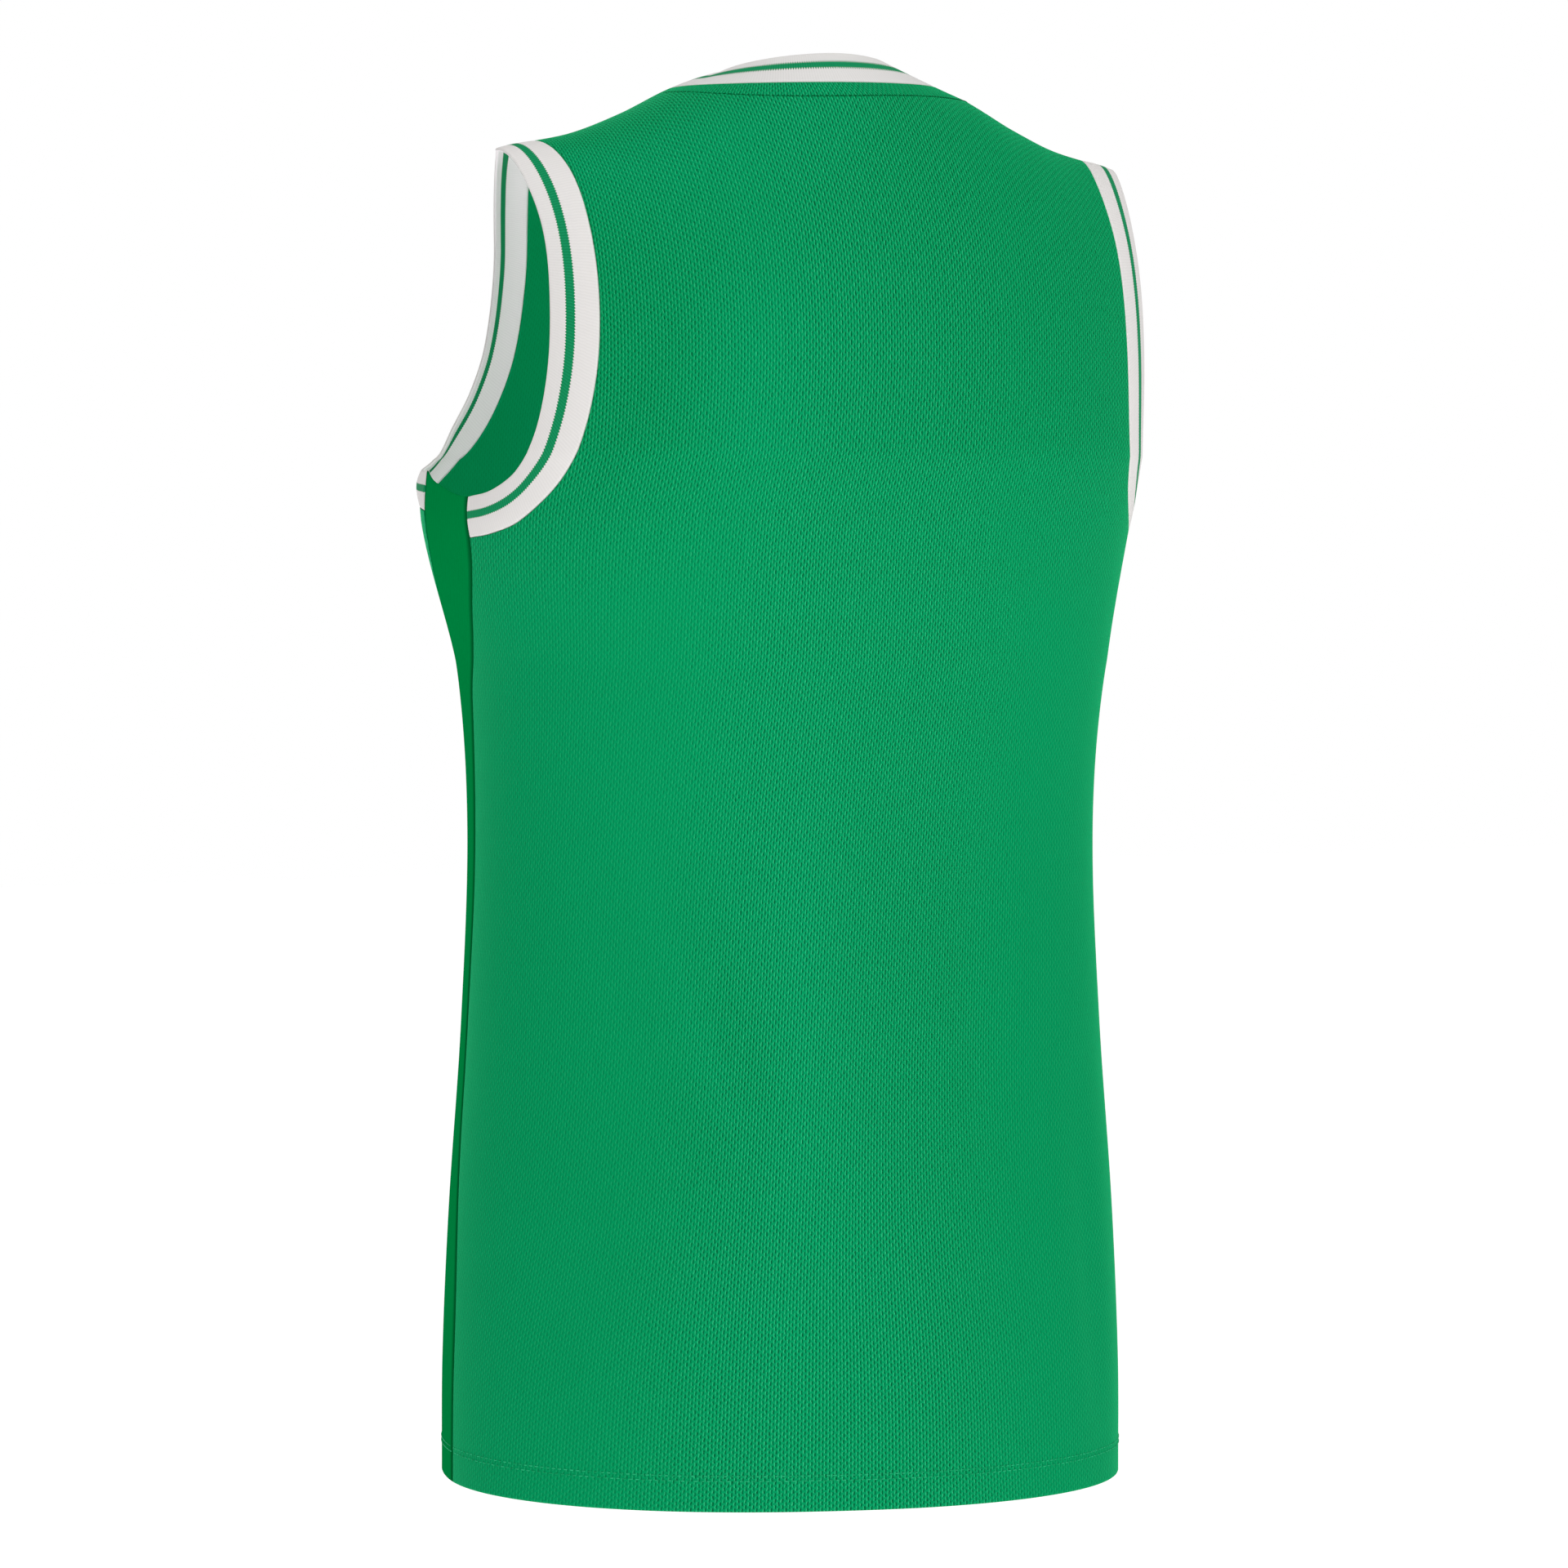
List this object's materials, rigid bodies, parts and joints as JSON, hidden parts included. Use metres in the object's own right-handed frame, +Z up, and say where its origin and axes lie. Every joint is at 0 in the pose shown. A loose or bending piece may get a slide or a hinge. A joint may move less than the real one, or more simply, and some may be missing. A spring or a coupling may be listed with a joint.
{
  "type": "basketball jersey",
  "caption": "Sleeveless mesh-knit sports jersey in its worn, hollow form, with ribbed neck and armhole bands and plain side panels.",
  "frame": {"origin": "midway between the shoulders, on the crest line where a wearer's shoulders hold the straps", "axes": "+Z up, wearer faces -Y, wearer's left is +X"},
  "size_m": [0.3757, 0.2794, 0.7442],
  "materials": {
    "mesh_knit": "green polyester mesh knit, matt",
    "flat_knit": "darker green close knit, slightly smooth",
    "rib_knit": "white rib knit with one green stripe"
  },
  "bodies": {
    "root": {"back_panel": "mesh_knit", "front_panel": "mesh_knit", "back_yoke": "mesh_knit", "side_panel_left": "flat_knit", "side_panel_right": "flat_knit", "armhole_band_left": "rib_knit", "armhole_band_right": "rib_knit", "neck_band": "rib_knit"}
  },
  "joints": []
}
